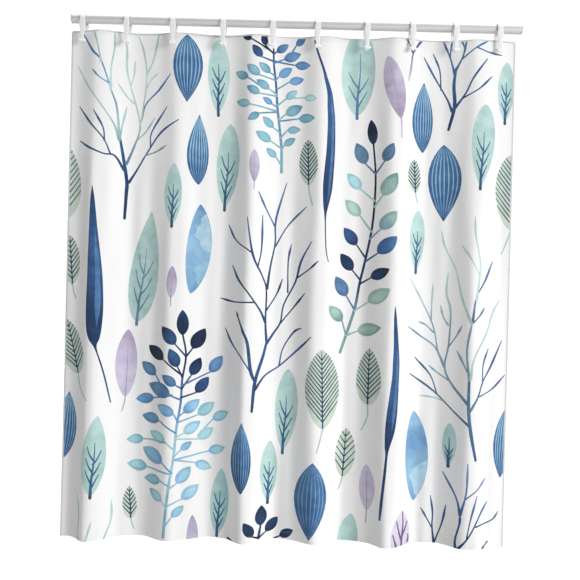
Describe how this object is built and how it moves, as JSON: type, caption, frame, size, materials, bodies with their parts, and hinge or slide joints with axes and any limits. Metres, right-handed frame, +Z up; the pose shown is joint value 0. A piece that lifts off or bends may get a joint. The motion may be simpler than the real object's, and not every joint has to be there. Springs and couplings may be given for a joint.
{
  "type": "shower curtain",
  "caption": "Printed cloth shower curtain with leaf pattern, hung in soft folds from white plastic snap hooks on a straight round grey rod.",
  "frame": {"origin": "centre of the rod's left end face, which bears on the wall", "axes": "+X along the rod to its right end, +Y away from the viewer, +Z up, along the drop of the curtain"},
  "size_m": [1.6, 0.0779, 1.8613],
  "materials": {
    "rod_metal": "satin",
    "rod_cap": "matte",
    "hook_plastic": "satin",
    "eyelet_plastic": "satin",
    "cloth": "matte",
    "header": "matte",
    "hem": "matte"
  },
  "bodies": {
    "rod": {"rod_tube": "rod_metal", "rod_end_cap_left": "rod_cap", "rod_end_cap_right": "rod_cap"},
    "hanger_01": {"hook_01": "hook_plastic", "eyelet_front_01": "eyelet_plastic", "eyelet_back_01": "eyelet_plastic", "curtain_cloth": "cloth", "header_band": "header", "bottom_hem": "hem", "side_hem_left": "hem", "side_hem_right": "hem"},
    "hanger_02": {"hook_02": "hook_plastic", "eyelet_front_02": "eyelet_plastic", "eyelet_back_02": "eyelet_plastic"},
    "hanger_03": {"hook_03": "hook_plastic", "eyelet_front_03": "eyelet_plastic", "eyelet_back_03": "eyelet_plastic"},
    "hanger_04": {"hook_04": "hook_plastic", "eyelet_front_04": "eyelet_plastic", "eyelet_back_04": "eyelet_plastic"},
    "hanger_05": {"hook_05": "hook_plastic", "eyelet_front_05": "eyelet_plastic", "eyelet_back_05": "eyelet_plastic"},
    "hanger_06": {"hook_06": "hook_plastic", "eyelet_front_06": "eyelet_plastic", "eyelet_back_06": "eyelet_plastic"},
    "hanger_07": {"hook_07": "hook_plastic", "eyelet_front_07": "eyelet_plastic", "eyelet_back_07": "eyelet_plastic"},
    "hanger_08": {"hook_08": "hook_plastic", "eyelet_front_08": "eyelet_plastic", "eyelet_back_08": "eyelet_plastic"},
    "hanger_09": {"hook_09": "hook_plastic", "eyelet_front_09": "eyelet_plastic", "eyelet_back_09": "eyelet_plastic"},
    "hanger_10": {"hook_10": "hook_plastic", "eyelet_front_10": "eyelet_plastic", "eyelet_back_10": "eyelet_plastic"}
  },
  "joints": [
    {"name": "curtain_swing", "type": "hinge", "parent": "rod", "child": "hanger_01", "pos_m": [0.8, 0, 0], "axis": [1, 0, 0], "range_deg": [-15, 15]},
    {"name": "curtain_draw", "type": "slide", "parent": "hanger_01", "child": "hanger_10", "axis": [-1, 0, 0], "range_m": [0, 1.03], "deforming": ["curtain_cloth", "header_band", "bottom_hem", "side_hem_left", "side_hem_right"]},
    {"name": "hook_02_slide", "type": "slide", "parent": "hanger_01", "child": "hanger_02", "axis": [-1, 0, 0], "range_m": [0, 0.11]},
    {"name": "hook_03_slide", "type": "slide", "parent": "hanger_01", "child": "hanger_03", "axis": [-1, 0, 0], "range_m": [0, 0.224]},
    {"name": "hook_04_slide", "type": "slide", "parent": "hanger_01", "child": "hanger_04", "axis": [-1, 0, 0], "range_m": [0, 0.348]},
    {"name": "hook_05_slide", "type": "slide", "parent": "hanger_01", "child": "hanger_05", "axis": [-1, 0, 0], "range_m": [0, 0.471]},
    {"name": "hook_06_slide", "type": "slide", "parent": "hanger_01", "child": "hanger_06", "axis": [-1, 0, 0], "range_m": [0, 0.582]},
    {"name": "hook_07_slide", "type": "slide", "parent": "hanger_01", "child": "hanger_07", "axis": [-1, 0, 0], "range_m": [0, 0.704]},
    {"name": "hook_08_slide", "type": "slide", "parent": "hanger_01", "child": "hanger_08", "axis": [-1, 0, 0], "range_m": [0, 0.816]},
    {"name": "hook_09_slide", "type": "slide", "parent": "hanger_01", "child": "hanger_09", "axis": [-1, 0, 0], "range_m": [0, 0.923]}
  ],
  "couplings": [
    {"joint": "hook_02_slide", "follows": "curtain_draw", "ratio": 0.10508},
    {"joint": "hook_03_slide", "follows": "curtain_draw", "ratio": 0.21559},
    {"joint": "hook_04_slide", "follows": "curtain_draw", "ratio": 0.33627},
    {"joint": "hook_05_slide", "follows": "curtain_draw", "ratio": 0.45559},
    {"joint": "hook_06_slide", "follows": "curtain_draw", "ratio": 0.56339},
    {"joint": "hook_07_slide", "follows": "curtain_draw", "ratio": 0.68203},
    {"joint": "hook_08_slide", "follows": "curtain_draw", "ratio": 0.79119},
    {"joint": "hook_09_slide", "follows": "curtain_draw", "ratio": 0.89492}
  ]
}
